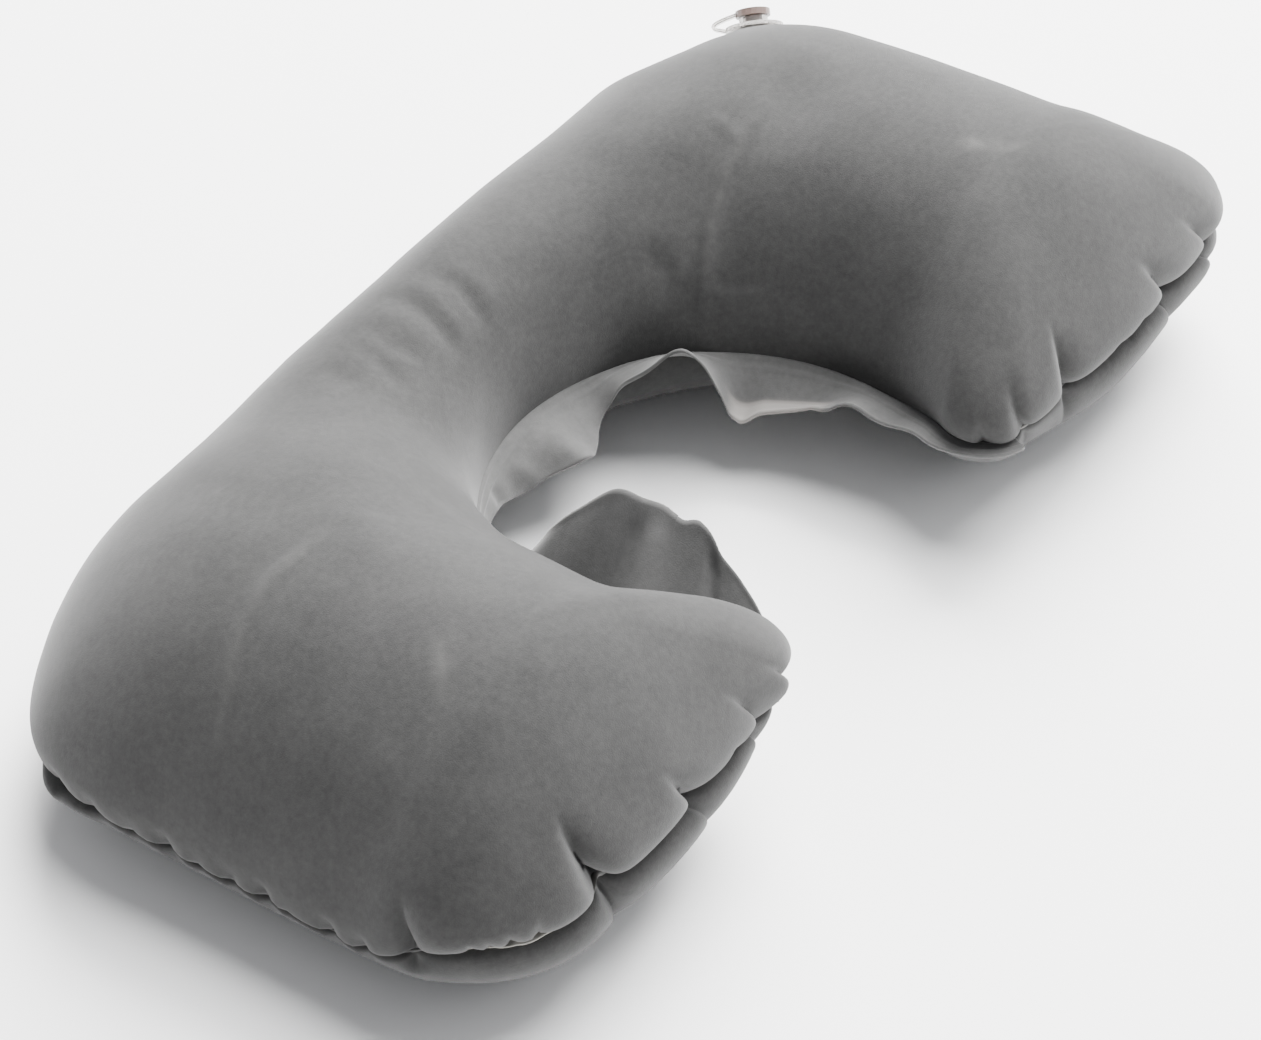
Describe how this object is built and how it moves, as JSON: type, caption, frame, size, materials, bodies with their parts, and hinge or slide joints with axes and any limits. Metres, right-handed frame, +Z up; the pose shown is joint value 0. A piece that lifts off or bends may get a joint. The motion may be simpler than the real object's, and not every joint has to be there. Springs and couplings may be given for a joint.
{
  "type": "travel pillow",
  "caption": "Inflated U-shaped neck pillow of flocked vinyl with a wavy film skirt round the neck, gathered arm tips, a narrow weld flange and a small stopper valve.",
  "frame": {"origin": "middle of the underside of the pillow's box, on the surface that it lies on", "axes": "+X along the spine from the near arm to the far arm, +Y from the arm tips to the nape, +Z up"},
  "size_m": [0.433, 0.2198, 0.1],
  "materials": {
    "flocked_vinyl": "short velvety flock, dry and matte",
    "skirt_film": "flocked film, matte, slightly lighter along the folds",
    "weld_film": "welded film edge, satin",
    "clear_vinyl": "soft clear vinyl, glossy",
    "rose_vinyl": "soft vinyl stopper, satin gloss"
  },
  "bodies": {
    "root": {"chamber": "flocked_vinyl", "neck_skirt": "skirt_film", "weld_flange": "weld_film", "valve_base": "clear_vinyl", "valve_plug": "rose_vinyl", "valve_tether": "clear_vinyl"}
  },
  "joints": []
}
